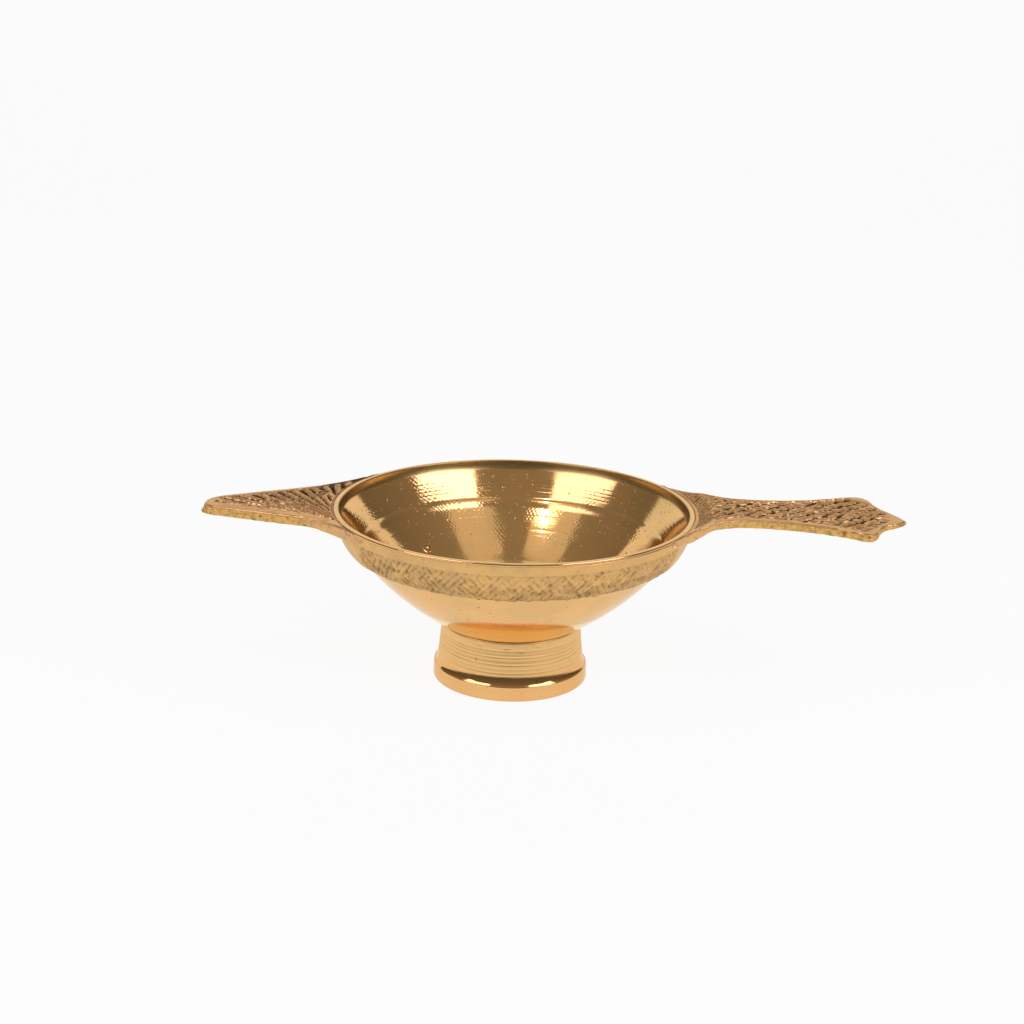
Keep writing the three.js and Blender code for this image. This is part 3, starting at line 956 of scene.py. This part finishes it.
bowl_brass = make_bowl_brass()
foot_brass = make_foot_brass()
filler_brass = make_filler_brass()
band_brass = cast_brass(
    "cast_band_brass", rough=0.31, patina=(0.10, 1.05), darkest=0.58, dull=0.6, clean=BAND_BRASS,
    grain=1700.0, strength=0.6, distance=0.09)
plate_brass = cast_brass(
    "cast_plate_brass", rough=0.36, patina=(0.30, 0.85), darkest=0.98, dull=0.35, clean=CAST_BRASS,
    grain=2000.0, strength=0.6, distance=0.07, raw_more=5.0)


def dress(piece, material, slot, *nodes):
    piece.data.materials.clear()
    piece.data.materials.append(material)
    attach(piece, "root")
    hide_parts(*nodes)
    return piece


dress(make_bowl(), bowl_brass, "turned_brass", "bowl")
dress(make_band(), band_brass, "cast_brass", "rim_band")
dress(make_leaf(), plate_brass, "cast_brass", "wick_leaf")
dress(make_handle(), plate_brass, "cast_brass", "handle")
dress(make_foot(), foot_brass, "turned_brass", "foot")
dress(make_filler("leaf_filler", math.pi, math.radians(30)), filler_brass, "filler_brass", "leaf_braze")
dress(make_filler("handle_filler", 0, math.radians(25)), filler_brass, "filler_brass", "handle_braze")
dress(make_foot_filler(), filler_brass, "filler_brass", "foot_braze")

# ---- stage: floor, backdrop, lights and camera ---------------------------------------------------------

bpy.context.scene.view_settings.view_transform = "Standard"


def stage_material(name, glow, base):
    material = bpy.data.materials.new(name)
    material.use_nodes = True
    shader = material.node_tree.nodes["Principled BSDF"]
    shader.inputs["Base Color"].default_value = (base, base, base, 1)
    shader.inputs["Roughness"].default_value = 0.9
    shader.inputs["Specular IOR Level"].default_value = 0.0
    shader.inputs["Emission Color"].default_value = (1, 1, 1, 1)
    shader.inputs["Emission Strength"].default_value = glow
    return material


def make_sweep():
    """A floor that curves up into a backdrop behind the lamp."""
    left, right, depth, front, tall, bend = -1.1, 0.68, 0.75, 1.2, 0.62, 0.18  # metres
    points = [(-front, 0.0), (depth - bend, 0.0)]
    points += [(depth - bend + bend * math.sin(a), bend - bend * math.cos(a))
               for a in (math.pi / 2 * i / 12 for i in range(1, 13))]
    points += [(depth, tall)]
    mesh = bpy.data.meshes.new("sweep")
    vertices = [(x, y, z) for y, z in points for x in (left, right)]
    faces = [(2 * i, 2 * i + 1, 2 * i + 3, 2 * i + 2) for i in range(len(points) - 1)]
    mesh.from_pydata(vertices, [], faces)
    for polygon in mesh.polygons:
        polygon.use_smooth = True
    sweep = bpy.data.objects.new("sweep", mesh)
    bpy.context.scene.collection.objects.link(sweep)
    mesh.materials.append(stage_material("sweep_paper", 0.925, 0.06))


def add_light(name, mirrored_at, direction, width_axis, distance, size, radiance, color, shape="RECTANGLE"):
    """An area light in the direction in which a place on the metal (mm from the axis) mirrors it."""
    data = bpy.data.lights.new(name, "AREA")
    data.shape = shape
    data.size, data.size_y = size
    data.energy = radiance * data.size * data.size_y * math.pi * (math.pi / 4 if shape == "ELLIPSE" else 1)
    data.color = color
    light = bpy.data.objects.new(name, data)
    back = Vector(direction).normalized()
    across = Vector(width_axis)
    across = (across - across.dot(back) * back).normalized()
    matrix = Matrix((across, back.cross(across), back)).transposed().to_4x4()
    matrix.translation = (Vector(mirrored_at) + Vector((AXIS_X, 0, 0))) * MM + back * distance
    light.matrix_world = matrix
    bpy.context.scene.collection.objects.link(light)


def make_lights():
    # brass takes most of the blue away, so the softboxes are cool enough to look white in it
    sides = ((1, "right", 3.6, (0.92, 0.86, 1)), (-1, "left", 2.8, (0.94, 0.82, 0.96)))
    for side, name, radiance, color in sides:
        wall = (-15 * side, 29, 33)
        tilt = (0.2247 * side, 0.179, -0.115)
        add_light("softbox_" + name, wall, (0.66 * side, -0.45, 0.60), tilt, 0.65, (0.40, 0.46),
                  radiance, color)
        add_light("ceiling_" + name, wall, (0.38 * side, -0.19, 0.905), tilt, 0.70, (0.32, 0.20),
                  0.45, (1, 0.97, 0.90))
    hot_spot = (7.24, 29.1, 27.6)
    add_light("lamp_glow", hot_spot, (-0.2893, -0.2885, 0.9127), (0.857, -0.494, 0.148), 0.50,
              (0.130, 0.038), 3.2, (1, 0.86, 0.86), "ELLIPSE")
    add_light("lamp_core", hot_spot, (-0.2813, -0.2979, 0.9127), (0.604, -0.797, -0.018), 0.49,
              (0.046, 0.018), 20.0, (1, 0.96, 1), "ELLIPSE")


def make_world():
    world = bpy.data.worlds.new("studio")
    world.use_nodes = True
    tree = world.node_tree
    coordinates = tree.nodes.new("ShaderNodeTexCoord")
    split = tree.nodes.new("ShaderNodeSeparateXYZ")
    tree.links.new(coordinates.outputs["Generated"], split.inputs[0])
    ramp = tree.nodes.new("ShaderNodeValToRGB")
    tree.links.new(split.outputs["Z"], ramp.inputs[0])
    ramp.color_ramp.elements[0].position = 0.0
    ramp.color_ramp.elements[0].color = (0.10, 0.09, 0.08, 1)
    ramp.color_ramp.elements[1].position = 0.9
    ramp.color_ramp.elements[1].color = (0.33, 0.295, 0.25, 1)
    tree.links.new(ramp.outputs[0], tree.nodes["Background"].inputs["Color"])
    bpy.context.scene.world = world


CAMERA_DISTANCE = 0.350
CAMERA_ELEVATION = math.radians(17.04)
CAMERA_ROLL = math.radians(1.58)
CAMERA_LENS = 58.26  # on a 36 mm sensor
CAMERA_TARGET = Vector((AXIS_X - 0.45, 0, 36.3)) * MM


def make_camera():
    forward = Vector((0, math.cos(CAMERA_ELEVATION), -math.sin(CAMERA_ELEVATION)))
    up = Vector((0, math.sin(CAMERA_ELEVATION), math.cos(CAMERA_ELEVATION)))
    right = Vector((1, 0, 0))
    c, s = math.cos(CAMERA_ROLL), math.sin(CAMERA_ROLL)
    rolled_right, rolled_up = right * c + up * s, up * c - right * s
    data = bpy.data.cameras.new("camera")
    data.lens, data.sensor_width = CAMERA_LENS, 36
    data.clip_start, data.clip_end = 0.01, 20
    camera = bpy.data.objects.new("camera", data)
    matrix = Matrix((rolled_right, rolled_up, -forward)).transposed().to_4x4()
    matrix.translation = CAMERA_TARGET - forward * CAMERA_DISTANCE
    camera.matrix_world = matrix
    bpy.context.scene.collection.objects.link(camera)
    bpy.context.scene.camera = camera


make_sweep()
make_lights()
make_world()
make_camera()
